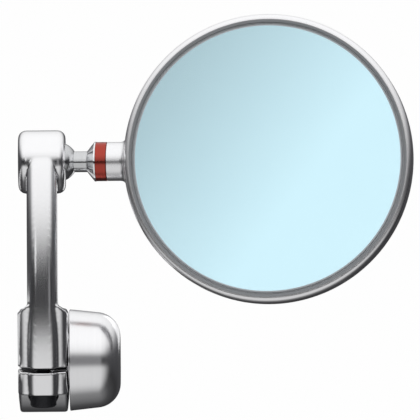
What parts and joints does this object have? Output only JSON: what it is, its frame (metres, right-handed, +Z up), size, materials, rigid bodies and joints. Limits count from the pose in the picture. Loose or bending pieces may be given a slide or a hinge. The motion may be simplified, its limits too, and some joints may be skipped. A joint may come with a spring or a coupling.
{
  "type": "bar-end motorcycle mirror",
  "caption": "Round bar-end mirror with tinted glass on a ball-jointed stem, carried by a curved arm on a split handlebar clamp with a domed end cap.",
  "frame": {"origin": "on the handlebar's axis, at the middle of the clamp ring", "axes": "+X outboard along the handlebar, +Y ahead of the rider, +Z up"},
  "size_m": [0.1295, 0.0419, 0.1294],
  "materials": {
    "polished_aluminium": "satin polished",
    "polished_steel": "turned and polished",
    "black_steel": "black oxide",
    "acetal_seat": "turned acetal",
    "red_anodised": "red anodised",
    "blue_glass": "pale blue tinted mirror glass",
    "black_rubber": "matt"
  },
  "bodies": {
    "base": {"arm": "polished_aluminium", "clamp_screw": "black_steel", "bar_end_cap": "polished_aluminium", "disc_springs": "black_steel", "adjuster_plug": "black_steel"},
    "seat": {"rear_ball_seat": "acetal_seat"},
    "stem": {"ball_stud": "polished_steel", "stem_cone": "polished_aluminium", "red_ring": "red_anodised"},
    "head": {"mirror_housing": "polished_aluminium", "adhesive_ring": "black_rubber", "mirror_glass": "blue_glass", "glass_seal": "black_rubber", "head_grub_screw": "black_steel"}
  },
  "joints": [
    {"name": "seat_turn", "type": "hinge", "parent": "base", "child": "seat", "pos_m": [0.0052, -0.0048, 0.0649], "axis": [1, 0, 0], "range_deg": [-90, 90]},
    {"name": "ball_tilt", "type": "hinge", "parent": "seat", "child": "stem", "pos_m": [0.0052, -0.0048, 0.0649], "axis": [0, 0, 1], "range_deg": [-17, 27]},
    {"name": "head_swivel", "type": "hinge", "parent": "stem", "child": "head", "pos_m": [0.0052, -0.0048, 0.0649], "axis": [0.9962, -0.0872, 0], "continuous": true}
  ]
}
